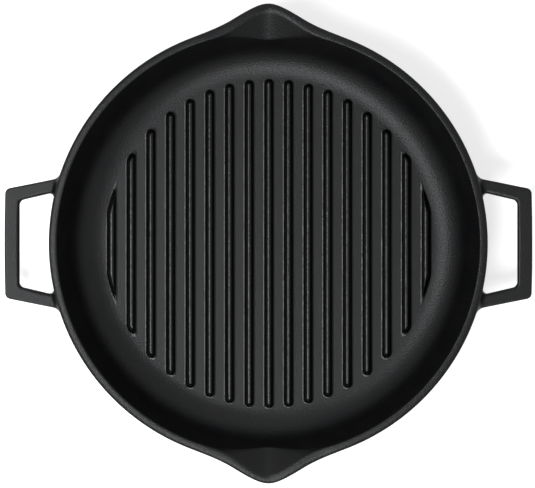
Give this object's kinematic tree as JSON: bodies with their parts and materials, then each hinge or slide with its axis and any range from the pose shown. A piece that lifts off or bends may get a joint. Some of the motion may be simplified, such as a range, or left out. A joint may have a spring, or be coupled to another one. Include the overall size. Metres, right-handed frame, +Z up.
{
  "type": "grill pan",
  "caption": "Round black cast-iron grill pan with a ribbed flat floor, a coved wall, pouring lips and squared loop handles.",
  "frame": {"origin": "centre of the flat base, on the surface that the pan stands on", "axes": "+X runs out through the right handle, +Y runs out through one pouring lip, +Z is up out of the bowl"},
  "size_m": [0.3608, 0.328, 0.0425],
  "materials": {
    "cast_iron": "satin"
  },
  "bodies": {
    "root": {"pan_bowl": "cast_iron", "handle_left": "cast_iron", "handle_right": "cast_iron", "grill_rib_01": "cast_iron", "grill_rib_02": "cast_iron", "grill_rib_03": "cast_iron", "grill_rib_04": "cast_iron", "grill_rib_05": "cast_iron", "grill_rib_06": "cast_iron", "grill_rib_07": "cast_iron", "grill_rib_08": "cast_iron", "grill_rib_09": "cast_iron", "grill_rib_10": "cast_iron", "grill_rib_11": "cast_iron", "grill_rib_12": "cast_iron", "grill_rib_13": "cast_iron", "grill_rib_14": "cast_iron", "grill_rib_15": "cast_iron", "grill_rib_16": "cast_iron", "grill_rib_17": "cast_iron"}
  },
  "joints": []
}
